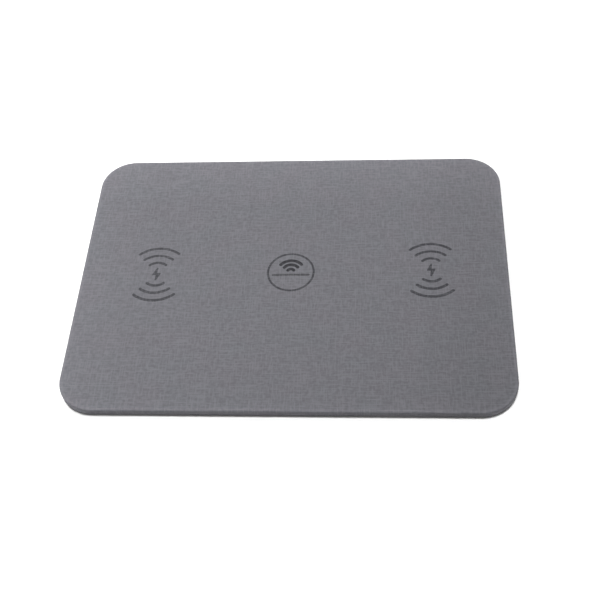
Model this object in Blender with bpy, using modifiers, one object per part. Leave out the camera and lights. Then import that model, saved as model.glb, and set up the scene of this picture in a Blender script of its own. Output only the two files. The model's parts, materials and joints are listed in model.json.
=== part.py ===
"""Cloth-covered wireless charging pad with three charging places, in metres, +Z up.

The pad stands on the plane z = 0, with the origin under the middle of its footprint. X runs along its long
side, and +Y is the rear edge, which has the power socket. Nothing on it moves.

From below upwards: rubber feet, a base cover held by eight screws, the coils on their ferrite plates with one
circuit board behind them, a top panel with a thick rim, and the cloth, which wraps round that rim and under it.
"""

import math
from typing import NamedTuple

import bmesh
import bpy
from mathutils import Matrix, Vector

MM = 0.001
UP = 2
BACK = 1

# Driving dimensions
PAD_LENGTH = 300 * MM
PAD_DEPTH = 220 * MM
PAD_HEIGHT = 7 * MM
CORNER_RADIUS = 24.5 * MM
CORNER_SEGMENTS = 18
GAP = 0.3 * MM
PAST = 2 * MM

# Thicknesses, from the feet up
FOOT_STANDOFF = 0.5 * MM
BASE_THICKNESS = 1.4 * MM
CLOTH_THICKNESS = 0.6 * MM
DECK_THICKNESS = 1.3 * MM
PLATE_THICKNESS = 0.8 * MM
BOARD_THICKNESS = 0.8 * MM

# Heights that follow from them
BASE_LOW = FOOT_STANDOFF
BASE_TOP = BASE_LOW + BASE_THICKNESS
FLOOR = BASE_TOP + GAP
RIM_LOW = FLOOR + CLOTH_THICKNESS + GAP
DECK_TOP = PAD_HEIGHT - CLOTH_THICKNESS - GAP
DECK_LOW = DECK_TOP - DECK_THICKNESS
PLATE_TOP = FLOOR + PLATE_THICKNESS
BOARD_TOP = FLOOR + BOARD_THICKNESS
PART_LOW = BOARD_TOP + GAP

# Cloth and the two mouldings
CLOTH_TOP_RADIUS = 1.0 * MM
CLOTH_LOW_RADIUS = 0.8 * MM
HEM_WIDTH = 6 * MM
BASE_INSET = 0.4 * MM
BASE_EDGE_CHAMFER = 0.4 * MM
PANEL_INSET = CLOTH_THICKNESS + GAP
PANEL_EDGE_RADIUS = 0.4 * MM
RIM_WIDTH = 6 * MM
RIB_WIDTH = 1.2 * MM
RIB_ROOT = 0.6 * MM
LOCATOR_WIDTH = 1 * MM
LOCATOR_LENGTH = 12 * MM
LOCATOR_DROP = 0.1 * MM

# Rubber feet
FOOT_RADIUS = 8 * MM
FOOT_THICKNESS = 0.9 * MM
FOOT_EDGE = 0.3 * MM
FOOT_STEPS = 24
FOOT_PLACES = {
    "foot_front_left": (-124 * MM, -84 * MM),
    "foot_front_middle": (0, -92 * MM),
    "foot_front_right": (124 * MM, -84 * MM),
    "foot_rear_left": (-124 * MM, 84 * MM),
    "foot_rear_middle": (0, 92 * MM),
    "foot_rear_right": (124 * MM, 84 * MM),
}

# Countersunk screws
SCREW_HEAD_RADIUS = 1.9 * MM
SCREW_SHANK_RADIUS = 0.8 * MM
SCREW_HEAD_HEIGHT = 0.9 * MM
SCREW_TOP = 4.4 * MM
SCREW_TIP = 0.4 * MM
SCREW_RECESS = 0.1 * MM
SCREW_STEPS = 12
CROSS_WIDTH = 0.4 * MM
CROSS_ARM = 0.7 * MM
CROSS_DEPTH = 0.5 * MM
BOSS_RADIUS = 2.8 * MM
SCREW_PLACES = {
    "screw_front_left": (-88 * MM, -97 * MM),
    "screw_front_right": (88 * MM, -97 * MM),
    "screw_rear_left": (-88 * MM, 97 * MM),
    "screw_rear_right": (88 * MM, 97 * MM),
    "screw_left_front": (-136 * MM, -48 * MM),
    "screw_left_rear": (-136 * MM, 48 * MM),
    "screw_right_front": (136 * MM, -48 * MM),
    "screw_right_rear": (136 * MM, 48 * MM),
}

# Power socket at the middle of the rear edge, and the insert round it
SOCKET_WIDTH = 9 * MM
SOCKET_HEIGHT = 3.2 * MM
SOCKET_DEPTH = 8.2 * MM
SOCKET_WALL = 0.3 * MM
SOCKET_BACK_WALL = 0.4 * MM
SOCKET_SETBACK = 0.4 * MM
SOCKET_MIDDLE = FLOOR + SOCKET_HEIGHT / 2
SOCKET_FRONT = PAD_DEPTH / 2 - SOCKET_SETBACK
SOCKET_BACK = SOCKET_FRONT - SOCKET_DEPTH
SOCKET_ROUNDING = 0.46
SOCKET_SEGMENTS = 5
TONGUE_WIDTH = 6.7 * MM
TONGUE_THICKNESS = 0.7 * MM
TONGUE_SETBACK = 1 * MM
TONGUE_BLOCK_DEPTH = 2.6 * MM
BEZEL_WIDTH = 14 * MM
BEZEL_DEPTH = 6 * MM
BEZEL_CORNER = 0.6 * MM

# Circuit board and what is soldered to it: name, (length, depth, height), (x, y)
BOARD_LENGTH = 84 * MM
BOARD_FRONT = 52 * MM
BOARD_REAR = 102.8 * MM
BOARD_CORNER = 2 * MM
PEG_RADIUS = 1 * MM
PEG_PROUD = 0.6 * MM
PEG_PLACES = [(-30 * MM, 55.5 * MM), (30 * MM, 55.5 * MM), (-38 * MM, 98 * MM), (38 * MM, 98 * MM)]
CHIP_HEIGHT = 0.8 * MM
CAPACITOR = (3.2 * MM, 1.6 * MM, 1.1 * MM)
BULK_CAPACITOR = (3.2 * MM, 2.5 * MM, 1.1 * MM)
INDUCTOR = (6 * MM, 6 * MM, 1.2 * MM)
DRIVER = (5 * MM, 5 * MM, CHIP_HEIGHT)
BOARD_PARTS = [
    ("controller_chip", "chip", (7 * MM, 7 * MM, CHIP_HEIGHT), (-8 * MM, 77 * MM)),
    ("power_input_chip", "chip", (4 * MM, 4 * MM, CHIP_HEIGHT), (0, 93 * MM)),
    ("driver_chip_left", "chip", DRIVER, (-25 * MM, 65 * MM)),
    ("driver_chip_centre", "chip", DRIVER, (5 * MM, 67 * MM)),
    ("driver_chip_right", "chip", DRIVER, (25 * MM, 65 * MM)),
    ("resonance_capacitor_left_1", "capacitor", CAPACITOR, (-34 * MM, 56.5 * MM)),
    ("resonance_capacitor_left_2", "capacitor", CAPACITOR, (-34 * MM, 60.5 * MM)),
    ("resonance_capacitor_centre_1", "capacitor", CAPACITOR, (2 * MM, 60 * MM)),
    ("resonance_capacitor_centre_2", "capacitor", CAPACITOR, (8 * MM, 60 * MM)),
    ("resonance_capacitor_right_1", "capacitor", CAPACITOR, (34 * MM, 56.5 * MM)),
    ("resonance_capacitor_right_2", "capacitor", CAPACITOR, (34 * MM, 60.5 * MM)),
    ("input_inductor", "inductor", INDUCTOR, (13 * MM, 91 * MM)),
    ("output_inductor", "inductor", INDUCTOR, (-13 * MM, 91 * MM)),
    ("input_capacitor", "capacitor", BULK_CAPACITOR, (21 * MM, 92 * MM)),
    ("output_capacitor", "capacitor", BULK_CAPACITOR, (-21 * MM, 92 * MM)),
    ("clock_crystal", "crystal", (3.2 * MM, 2.5 * MM, 0.7 * MM), (1 * MM, 77 * MM)),
]

# Coils: one litz wire each, wound in a flat spiral over a slotted ferrite plate
PLACE_Y = 2.5 * MM
PLACE_SPACING = 97 * MM
WIRE_RADIUS = 0.5 * MM
COIL_PITCH = 1.4 * MM
COIL_POINTS_PER_TURN = 14
LEAD_STEPS = 2
COIL_LEVEL = PLATE_TOP + GAP + WIRE_RADIUS
CROSSING_LEVEL = (BASE_TOP + COIL_LEVEL - WIRE_RADIUS) / 2
SLOT_NEAR = 2.9 * MM
SLOT_FAR = 2.2 * MM
SLOT_PAST_CENTRE = 3 * MM
INNER_LEAD_OFFSET = 1.6 * MM
SENSOR_OFFSET = 0.9 * MM
SENSOR_WIRE_RADIUS = 0.35 * MM
SENSOR_BEAD_START = 1.2 * MM
SENSOR_BEAD_STEP = 0.9 * MM
SENSOR_BEAD_SWELLS = [1.8, 2.3, 2.3, 2.2, 1.4]
SENSOR_BEAD_RISE = 0.8

# Points of a wire's route: millimetres from the coil's centre, and a height from 0, where the inner lead
# crosses below the winding, to 1, the level of the winding itself.
SIDE_INNER_LEAD = [(57, 58, 1), (34, 54.5, 1), (14, 46.5, 1), (4.2, 37, 0.6), (1.6, 29, 0)]
SIDE_OUTER_LEAD = [(21.6, -7.6, 1), (31, 9, 1), (38, 30, 1), (46.5, 47, 1), (57, 54, 1)]
SIDE_SENSOR_LEAD = [(57, 61.5, 1), (33, 58.5, 1), (12, 50.5, 1), (1, 40, 0.6), (-0.9, 30, 0)]
CENTRE_INNER_LEAD = [(2, 52.5, 1), (2, 44, 1), (1.8, 34, 0.6), (1.6, 23, 0)]
CENTRE_OUTER_LEAD = [(17.4, 2.6, 1), (17.4, 20, 1), (12, 38, 1), (8, 52.5, 1)]
CENTRE_SENSOR_LEAD = [(-3.5, 52.5, 1), (-3.5, 44, 1), (-1.8, 34, 0.6), (-0.9, 23, 0)]


class Place(NamedTuple):
    """A charging place. side is -1 where the coil and its leads are the mirror image."""

    name: str
    x: float
    side: int
    plate_size: float
    outer_radius: float
    turns: int
    seam_degrees: float
    inner_lead: list
    outer_lead: list
    sensor_lead: list

    @property
    def inner_radius(self):
        return self.outer_radius - self.turns * COIL_PITCH


SIDE_COIL = (50 * MM, 21.5 * MM, 7, -40, SIDE_INNER_LEAD, SIDE_OUTER_LEAD, SIDE_SENSOR_LEAD)
CENTRE_COIL = (36 * MM, 15.5 * MM, 5, -20, CENTRE_INNER_LEAD, CENTRE_OUTER_LEAD, CENTRE_SENSOR_LEAD)
PLACES = [
    Place("left", -PLACE_SPACING, 1, *SIDE_COIL),
    Place("centre", 0, 1, *CENTRE_COIL),
    Place("right", PLACE_SPACING, -1, *SIDE_COIL),
]

# Support ribs on the base cover, each from one (x, y) to another along X or Y
RIBS = [
    ((-122 * MM, -72 * MM), (122 * MM, -72 * MM)),
    ((-122 * MM, -45 * MM), (122 * MM, -45 * MM)),
    ((-122 * MM, 72 * MM), (-62 * MM, 72 * MM)),
    ((62 * MM, 72 * MM), (122 * MM, 72 * MM)),
    ((-129 * MM, -40 * MM), (-129 * MM, 62 * MM)),
    ((129 * MM, -40 * MM), (129 * MM, 62 * MM)),
    ((-48.5 * MM, -36 * MM), (-48.5 * MM, 20 * MM)),
    ((48.5 * MM, -36 * MM), (48.5 * MM, 20 * MM)),
]

# Material name: (colour, roughness, metallic)
FINISHES = {
    "cloth": ((0.21, 0.208, 0.226), 0.95, 0.0),
    "base_plastic": ((0.045, 0.045, 0.048), 0.55, 0.0),
    "panel_plastic": ((0.08, 0.08, 0.085), 0.5, 0.0),
    "bezel_plastic": ((0.02, 0.02, 0.022), 0.35, 0.0),
    "foot_rubber": ((0.03, 0.03, 0.03), 0.85, 0.0),
    "screw_steel": ((0.32, 0.32, 0.33), 0.35, 1.0),
    "socket_steel": ((0.62, 0.62, 0.6), 0.3, 1.0),
    "tongue_plastic": ((0.03, 0.03, 0.03), 0.5, 0.0),
    "circuit_board": ((0.012, 0.11, 0.05), 0.4, 0.0),
    "chip": ((0.018, 0.018, 0.02), 0.5, 0.0),
    "capacitor": ((0.42, 0.3, 0.19), 0.45, 0.0),
    "inductor": ((0.09, 0.09, 0.095), 0.65, 0.0),
    "crystal": ((0.6, 0.6, 0.58), 0.3, 1.0),
    "litz_wire": ((0.6, 0.25, 0.1), 0.45, 1.0),
    "ferrite": ((0.05, 0.045, 0.045), 0.7, 0.0),
    "sensor": ((0.02, 0.05, 0.14), 0.5, 0.0),
}


def clear_scene():
    """Removes every object that the file holds at the start."""
    for obj in list(bpy.data.objects):
        bpy.data.objects.remove(obj, do_unlink=True)


def new_collection(name):
    collection = bpy.data.collections.new(name)
    bpy.context.scene.collection.children.link(collection)
    return collection


def material(name):
    """The Principled material of that name, made the first time it is asked for."""
    found = bpy.data.materials.get(name)
    if found:
        return found
    colour, roughness, metallic = FINISHES[name]
    made = bpy.data.materials.new(name)
    made.use_nodes = True
    shader = made.node_tree.nodes["Principled BSDF"]
    shader.inputs["Base Color"].default_value = (*colour, 1.0)
    shader.inputs["Roughness"].default_value = roughness
    shader.inputs["Metallic"].default_value = metallic
    made.diffuse_color = (*colour, 1.0)
    return made


def link_part(name, data, finish, location=(0, 0, 0)):
    """Makes an object of a mesh or curve in the pad's collection."""
    if not data.materials:
        data.materials.append(material(finish))
    obj = bpy.data.objects.new(name, data)
    obj.location = location
    parts.objects.link(obj)
    return obj


def mesh_of(bm, name, smooth_degrees=40):
    """Turns a bmesh into a mesh, shaded smooth except across edges sharper than that angle."""
    mesh = bpy.data.meshes.new(name)
    bm.to_mesh(mesh)
    bm.free()
    mesh.shade_smooth()
    mesh.set_sharp_from_angle(angle=math.radians(smooth_degrees))
    return mesh


def link_cutter(name, bm):
    """Makes a cutting or joining body, which isn't a part itself."""
    obj = bpy.data.objects.new(name, mesh_of(bm, name))
    obj.display_type = "WIRE"
    obj.hide_render = True
    cutters.objects.link(obj)
    return obj


def add_boolean(obj, cutter, operation="DIFFERENCE"):
    modifier = obj.modifiers.new(cutter.name, "BOOLEAN")
    modifier.operation = operation
    modifier.solver = "EXACT"
    modifier.object = cutter


def edges_along(bm, verts, axis):
    """The edges between these vertices that run along one axis."""
    chosen = set(verts)
    found = []
    for edge in bm.edges:
        if edge.verts[0] in chosen and edge.verts[1] in chosen:
            run = edge.verts[1].co - edge.verts[0].co
            if abs(run[axis]) > 0.99 * run.length:
                found.append(edge)
    return found


def add_slab(bm, low, high, corner_radius=0.0, corner_segments=1, along=UP):
    """Adds a box between two opposite corners, with its four edges along one axis rounded."""
    low = Vector(low)
    high = Vector(high)
    place = Matrix.LocRotScale((low + high) / 2, None, high - low)
    verts = bmesh.ops.create_cube(bm, size=1.0, matrix=place)["verts"]
    if corner_radius:
        bmesh.ops.bevel(
            bm,
            geom=edges_along(bm, verts, along),
            offset=corner_radius,
            segments=corner_segments,
            profile=0.5,
            affect="EDGES",
        )


def round_level(bm, level, radius, segments):
    """Rounds the sharp outline edges that lie at one height."""
    edges = []
    for edge in bm.edges:
        flat = all(abs(vert.co.z - level) < 1e-6 for vert in edge.verts)
        if flat and edge.calc_face_angle(0.0) > math.radians(60):
            edges.append(edge)
    bmesh.ops.bevel(bm, geom=edges, offset=radius, segments=segments, profile=0.5, affect="EDGES")


def add_cylinder(bm, place, low, high, low_radius, high_radius=None, segments=16):
    """Adds an upright cylinder, or a cone where the two radii differ."""
    bmesh.ops.create_cone(
        bm,
        cap_ends=True,
        segments=segments,
        radius1=low_radius,
        radius2=low_radius if high_radius is None else high_radius,
        depth=high - low,
        matrix=Matrix.Translation((place[0], place[1], (low + high) / 2)),
    )


def pad_slab(inset, low, high):
    """A bmesh with a slab of the pad's outline, brought in by inset all round."""
    half = Vector((PAD_LENGTH / 2 - inset, PAD_DEPTH / 2 - inset))
    bm = bmesh.new()
    add_slab(bm, (-half.x, -half.y, low), (half.x, half.y, high), CORNER_RADIUS - inset, CORNER_SEGMENTS)
    return bm


def turned_mesh(name, profile, steps):
    """A mesh turned about Z from (radius, height) points, which run from the top axis point down to the lower."""
    mesh = bpy.data.meshes.new(name + "_profile")
    mesh.from_pydata([(radius, 0, height) for radius, height in profile], [], [])
    mesh.edges.add(len(profile) - 1)
    for index, edge in enumerate(mesh.edges):
        edge.vertices = (index, index + 1)
    turned = bpy.data.objects.new(name + "_profile", mesh)
    cutters.objects.link(turned)
    screw = turned.modifiers.new("turn", "SCREW")
    screw.steps = steps
    screw.render_steps = steps
    screw.use_merge_vertices = True
    screw.merge_threshold = 0.00001
    made = applied_mesh(turned, name)
    bpy.data.objects.remove(turned, do_unlink=True)
    made.shade_smooth()
    made.set_sharp_from_angle(angle=math.radians(40))
    return made


def applied_mesh(obj, name):
    """A mesh of the object with its modifiers applied."""
    graph = bpy.context.evaluated_depsgraph_get()
    mesh = bpy.data.meshes.new_from_object(obj.evaluated_get(graph), depsgraph=graph)
    mesh.name = name
    return mesh


def settle(obj, smooth_degrees=40):
    """Applies the object's modifiers, then shades it smooth except across its sharp edges."""
    mesh = applied_mesh(obj, obj.data.name)
    obj.modifiers.clear()
    obj.data = mesh
    mesh.shade_smooth()
    mesh.set_sharp_from_angle(angle=math.radians(smooth_degrees))


def smooth_route(points, steps):
    """A Catmull-Rom curve through the points, with that many steps from each point to the next."""
    route = []
    last = len(points) - 1
    for index in range(last):
        before = points[max(index - 1, 0)]
        start = points[index]
        end = points[index + 1]
        after = points[min(index + 2, last)]
        for step in range(steps):
            t = step / steps
            bend = (end - before) * t
            bend += (2 * before - 5 * start + 4 * end - after) * t**2
            bend += (3 * start - before - 3 * end + after) * t**3
            route.append(start + bend / 2)
    route.append(points[last])
    return route


def wire(name, route, radius, finish, swells=None):
    """A round wire along the route. swells gives each point's radius as a multiple of the wire's own."""
    curve = bpy.data.curves.new(name, "CURVE")
    curve.dimensions = "3D"
    curve.bevel_depth = radius
    curve.bevel_resolution = 2
    curve.use_fill_caps = True
    spline = curve.splines.new("POLY")
    spline.points.add(len(route) - 1)
    for index, point in enumerate(route):
        spline.points[index].co = (*point, 1.0)
        spline.points[index].radius = swells[index] if swells else 1.0
    return link_part(name, curve, finish)


def make_cutters():
    """Bodies that are taken from the parts, by name."""
    half_notch = BEZEL_WIDTH / 2 + GAP
    rear = PAD_DEPTH / 2 + PAST

    bezel_notch = bmesh.new()
    front = PAD_DEPTH / 2 - BEZEL_DEPTH - GAP
    add_slab(bezel_notch, (-half_notch, front, -PAST), (half_notch, rear, PAD_HEIGHT - CLOTH_THICKNESS))

    panel_notch = bmesh.new()
    front = SOCKET_BACK - GAP
    add_slab(panel_notch, (-half_notch, front, -PAST), (half_notch, rear, PAD_HEIGHT + PAST))

    board_cuts = bmesh.new()
    half_socket = SOCKET_WIDTH / 2 + GAP
    add_slab(board_cuts, (-half_socket, front, -PAST), (half_socket, rear, PAD_HEIGHT))
    for place in PEG_PLACES:
        add_cylinder(board_cuts, place, 0, PAD_HEIGHT, PEG_RADIUS + GAP)

    pockets = bmesh.new()
    pocket_top = FOOT_THICKNESS + GAP
    for place in FOOT_PLACES.values():
        add_cylinder(pockets, place, -PAST, pocket_top, FOOT_RADIUS + GAP, segments=FOOT_STEPS)
    slope = (SCREW_HEAD_RADIUS - SCREW_SHANK_RADIUS) / SCREW_HEAD_HEIGHT
    cone_low = BASE_LOW - GAP
    cone_top = BASE_LOW + SCREW_RECESS + SCREW_HEAD_HEIGHT
    for place in SCREW_PLACES.values():
        cone_radius = SCREW_SHANK_RADIUS + GAP
        wide = cone_radius + slope * (cone_top - cone_low)
        add_cylinder(pockets, place, cone_low, cone_top, wide, cone_radius, segments=SCREW_STEPS)

    shank_holes = bmesh.new()
    for place in SCREW_PLACES.values():
        radius = SCREW_SHANK_RADIUS + GAP
        add_cylinder(shank_holes, place, BASE_LOW - PAST, SCREW_TOP + GAP, radius, segments=SCREW_STEPS)

    return {
        "bezel_notch": link_cutter("bezel_notch", bezel_notch),
        "panel_notch": link_cutter("panel_notch", panel_notch),
        "board_cuts": link_cutter("board_cuts", board_cuts),
        "underside_pockets": link_cutter("underside_pockets", pockets),
        "shank_holes": link_cutter("shank_holes", shank_holes),
    }


def make_cloth(cuts):
    """The cloth: an open skin with rounded edges and a turned-under hem, thickened inwards."""
    bm = pad_slab(0, FLOOR, PAD_HEIGHT)
    round_level(bm, PAD_HEIGHT, CLOTH_TOP_RADIUS, 3)
    round_level(bm, FLOOR, CLOTH_LOW_RADIUS, 2)
    underside = min(bm.faces, key=lambda face: face.calc_center_median().z)
    bmesh.ops.inset_region(bm, faces=[underside], thickness=HEM_WIDTH - CLOTH_LOW_RADIUS)
    bmesh.ops.delete(bm, geom=[underside], context="FACES")
    cloth = link_part("fabric_cover", mesh_of(bm, "fabric_cover"), "cloth")
    thicken = cloth.modifiers.new("thickness", "SOLIDIFY")
    thicken.thickness = CLOTH_THICKNESS
    thicken.offset = -1
    thicken.use_even_offset = True
    add_boolean(cloth, cuts["bezel_notch"])
    settle(cloth)


def make_top_panel(cuts):
    """The plate under the cloth, with its thick rim and the screw bosses."""
    bm = pad_slab(PANEL_INSET, RIM_LOW, DECK_TOP)
    round_level(bm, DECK_TOP, PANEL_EDGE_RADIUS, 1)
    panel = link_part("top_panel", mesh_of(bm, "top_panel"), "panel_plastic")
    hollow = pad_slab(PANEL_INSET + RIM_WIDTH, RIM_LOW - PAST, DECK_LOW)
    add_boolean(panel, link_cutter("panel_hollow", hollow))
    bosses = bmesh.new()
    for place in SCREW_PLACES.values():
        add_cylinder(bosses, place, FLOOR, DECK_LOW + DECK_THICKNESS / 2, BOSS_RADIUS)
    add_boolean(panel, link_cutter("panel_bosses", bosses), "UNION")
    add_boolean(panel, cuts["shank_holes"])
    add_boolean(panel, cuts["panel_notch"])
    settle(panel)


def add_locators(bm, place):
    """Four low walls that hold a ferrite plate in place, clear of its slot."""
    reach = place.plate_size / 2 + GAP
    top = PLATE_TOP - LOCATOR_DROP
    half = LOCATOR_LENGTH / 2
    aside = -place.side * (SLOT_NEAR + LOCATOR_LENGTH)
    for edge in (-1, 1):
        x = place.x + edge * (reach + LOCATOR_WIDTH / 2)
        add_slab(
            bm,
            (x - LOCATOR_WIDTH / 2, PLACE_Y - half, BASE_TOP - RIB_ROOT),
            (x + LOCATOR_WIDTH / 2, PLACE_Y + half, top),
        )
        y = PLACE_Y + edge * (reach + LOCATOR_WIDTH / 2)
        x = place.x + aside
        add_slab(
            bm,
            (x - half, y - LOCATOR_WIDTH / 2, BASE_TOP - RIB_ROOT),
            (x + half, y + LOCATOR_WIDTH / 2, top),
        )


def make_base(cuts):
    """The bottom cover with its ribs, the board's pegs and the ferrite plates' locators."""
    bm = pad_slab(BASE_INSET, BASE_LOW, BASE_TOP)
    round_level(bm, BASE_LOW, BASE_EDGE_CHAMFER, 2)
    base = link_part("base_cover", mesh_of(bm, "base_cover"), "base_plastic")
    features = bmesh.new()
    half = RIB_WIDTH / 2
    for start, end in RIBS:
        low = (start[0] - half, start[1] - half, BASE_TOP - RIB_ROOT)
        high = (end[0] + half, end[1] + half, DECK_LOW - GAP)
        add_slab(features, low, high)
    for place in PEG_PLACES:
        add_cylinder(features, place, BASE_TOP - RIB_ROOT, BOARD_TOP + PEG_PROUD, PEG_RADIUS)
    for place in PLACES:
        add_locators(features, place)
    add_boolean(base, link_cutter("base_features", features), "UNION")
    add_boolean(base, cuts["underside_pockets"])
    add_boolean(base, cuts["shank_holes"])
    add_boolean(base, cuts["bezel_notch"])
    settle(base)


def make_feet():
    """Rubber discs, each in its pocket and a little proud of the base cover."""
    profile = [
        (0, FOOT_THICKNESS),
        (FOOT_RADIUS, FOOT_THICKNESS),
        (FOOT_RADIUS, FOOT_EDGE),
        (FOOT_RADIUS - FOOT_EDGE, 0),
        (0, 0),
    ]
    mesh = turned_mesh("rubber_foot", profile, FOOT_STEPS)
    for name, (x, y) in FOOT_PLACES.items():
        link_part(name, mesh, "foot_rubber", (x, y, 0))


def screw_mesh():
    """A countersunk screw that stands on its head, with a cross recess from below."""
    length = SCREW_TOP - BASE_LOW - SCREW_RECESS
    profile = [
        (0, length),
        (SCREW_SHANK_RADIUS - SCREW_TIP, length),
        (SCREW_SHANK_RADIUS, length - SCREW_TIP),
        (SCREW_SHANK_RADIUS, SCREW_HEAD_HEIGHT),
        (SCREW_HEAD_RADIUS, SCREW_RECESS),
        (SCREW_HEAD_RADIUS, 0),
        (0, 0),
    ]
    turned = link_part("screw_blank", turned_mesh("screw_blank", profile, SCREW_STEPS), "screw_steel")
    cross = bmesh.new()
    half = CROSS_WIDTH / 2
    add_slab(cross, (-half, -half, -CROSS_DEPTH), (half, half, CROSS_DEPTH))
    sides = [face for face in cross.faces if abs(face.normal.z) < 0.5]
    arms = bmesh.ops.extrude_discrete_faces(cross, faces=sides)["faces"]
    for face in arms:
        bmesh.ops.translate(cross, verts=list(face.verts), vec=face.normal * CROSS_ARM)
    cutter = link_cutter("screw_cross", cross)
    add_boolean(turned, cutter)
    made = applied_mesh(turned, "countersunk_screw")
    bpy.data.objects.remove(turned, do_unlink=True)
    bpy.data.objects.remove(cutter, do_unlink=True)
    return made


def make_screws():
    mesh = screw_mesh()
    for name, (x, y) in SCREW_PLACES.items():
        link_part(name, mesh, "screw_steel", (x, y, BASE_LOW + SCREW_RECESS))


def add_socket_form(bm, shrink, back, front):
    """The socket's long rounded form, made smaller all round by shrink, between two places along Y."""
    half_width = SOCKET_WIDTH / 2 - shrink
    half_height = SOCKET_HEIGHT / 2 - shrink
    low = (-half_width, back, SOCKET_MIDDLE - half_height)
    high = (half_width, front, SOCKET_MIDDLE + half_height)
    add_slab(bm, low, high, SOCKET_ROUNDING * 2 * half_height, SOCKET_SEGMENTS, BACK)


def make_socket():
    """The power socket: a metal shell closed at the back, and the contact tongue inside it."""
    shell_form = bmesh.new()
    add_socket_form(shell_form, 0, SOCKET_BACK, SOCKET_FRONT)
    shell = link_part("usb_c_shell", mesh_of(shell_form, "usb_c_shell"), "socket_steel")
    inside = bmesh.new()
    add_socket_form(inside, SOCKET_WALL, SOCKET_BACK + SOCKET_BACK_WALL, SOCKET_FRONT + PAST)
    add_boolean(shell, link_cutter("socket_inside", inside))
    settle(shell)

    block_back = SOCKET_BACK + SOCKET_BACK_WALL + GAP
    tongue_form = bmesh.new()
    add_socket_form(tongue_form, SOCKET_WALL + GAP, block_back, block_back + TONGUE_BLOCK_DEPTH)
    tongue = link_part("usb_c_tongue", mesh_of(tongue_form, "usb_c_tongue"), "tongue_plastic")
    blade = bmesh.new()
    half_width = TONGUE_WIDTH / 2
    half_thickness = TONGUE_THICKNESS / 2
    low = (-half_width, block_back + TONGUE_BLOCK_DEPTH / 2, SOCKET_MIDDLE - half_thickness)
    high = (half_width, SOCKET_FRONT - TONGUE_SETBACK, SOCKET_MIDDLE + half_thickness)
    add_slab(blade, low, high)
    add_boolean(tongue, link_cutter("tongue_blade", blade), "UNION")
    settle(tongue)


def make_bezel():
    """The insert that frames the socket's mouth, flush with the cloth and the base cover."""
    rear = PAD_DEPTH / 2
    form = bmesh.new()
    low = (-BEZEL_WIDTH / 2, rear - BEZEL_DEPTH, BASE_LOW)
    high = (BEZEL_WIDTH / 2, rear, DECK_TOP)
    add_slab(form, low, high, BEZEL_CORNER, 2, BACK)
    bezel = link_part("port_bezel", mesh_of(form, "port_bezel"), "bezel_plastic")
    tunnel = bmesh.new()
    add_socket_form(tunnel, -GAP, rear - BEZEL_DEPTH - PAST, rear + PAST)
    add_boolean(bezel, link_cutter("bezel_tunnel", tunnel))
    settle(bezel)


def make_board(cuts):
    """The circuit board on its pegs, and the parts soldered to it."""
    form = bmesh.new()
    low = (-BOARD_LENGTH / 2, BOARD_FRONT, FLOOR)
    high = (BOARD_LENGTH / 2, BOARD_REAR, BOARD_TOP)
    add_slab(form, low, high, BOARD_CORNER, 3)
    board = link_part("main_board", mesh_of(form, "main_board"), "circuit_board")
    add_boolean(board, cuts["board_cuts"])
    settle(board)
    for name, finish, (length, depth, height), (x, y) in BOARD_PARTS:
        form = bmesh.new()
        low = (-length / 2, -depth / 2, 0)
        high = (length / 2, depth / 2, height)
        add_slab(form, low, high)
        link_part(name, mesh_of(form, name), finish, (x, y, PART_LOW))


def make_ferrite(place):
    """A square plate under the coil, slotted from its rear edge to past its centre for the leads."""
    half = place.plate_size / 2
    form = bmesh.new()
    add_slab(form, (-half, -half, 0), (half, half, PLATE_THICKNESS))
    location = (place.x, PLACE_Y, FLOOR)
    plate = link_part("ferrite_" + place.name, mesh_of(form, "ferrite_" + place.name), "ferrite", location)
    slot = bmesh.new()
    sides = sorted((place.side * SLOT_NEAR, -place.side * SLOT_FAR))
    add_slab(slot, (sides[0], -SLOT_PAST_CENTRE, -PAST), (sides[1], half + PAST, PLATE_THICKNESS + PAST))
    cutter = link_cutter("ferrite_slot_" + place.name, slot)
    cutter.location = location
    add_boolean(plate, cutter)
    settle(plate)


def on_route(place, x, y, rise):
    """A point of a wire's route in the pad's frame. x and y are metres from the coil's centre."""
    height = CROSSING_LEVEL + rise * (COIL_LEVEL - CROSSING_LEVEL)
    return Vector((place.x + place.side * x, PLACE_Y + y, height))


def lead_points(place, route):
    return [on_route(place, x * MM, y * MM, rise) for x, y, rise in route]


def coil_winding(place):
    """The points of the spiral, from its inner end to its outer end."""
    route = []
    count = place.turns * COIL_POINTS_PER_TURN
    for index in range(count + 1):
        share = index / COIL_POINTS_PER_TURN
        radius = place.inner_radius + share * COIL_PITCH
        angle = math.radians(place.seam_degrees) + share * math.tau
        route.append(on_route(place, radius * math.cos(angle), radius * math.sin(angle), 1))
    return route


def make_coil(place):
    """One wire: board, slot, under the winding, up inside it, round the spiral, and back to the board."""
    radius = place.inner_radius
    winding = coil_winding(place)
    inwards = lead_points(place, place.inner_lead)
    inwards += [
        on_route(place, INNER_LEAD_OFFSET, 0.75 * radius, 0),
        on_route(place, INNER_LEAD_OFFSET, 0.3 * radius, 0.3),
        on_route(place, 1.4 * INNER_LEAD_OFFSET, -0.15 * radius, 0.85),
        on_route(place, 0.38 * radius, -0.64 * radius, 1),
    ]
    start = smooth_route(inwards + winding[:1], LEAD_STEPS)
    finish = smooth_route(winding[-1:] + lead_points(place, place.outer_lead), LEAD_STEPS)
    wire("coil_" + place.name, start[:-1] + winding + finish[1:], WIRE_RADIUS, "litz_wire")


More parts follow.
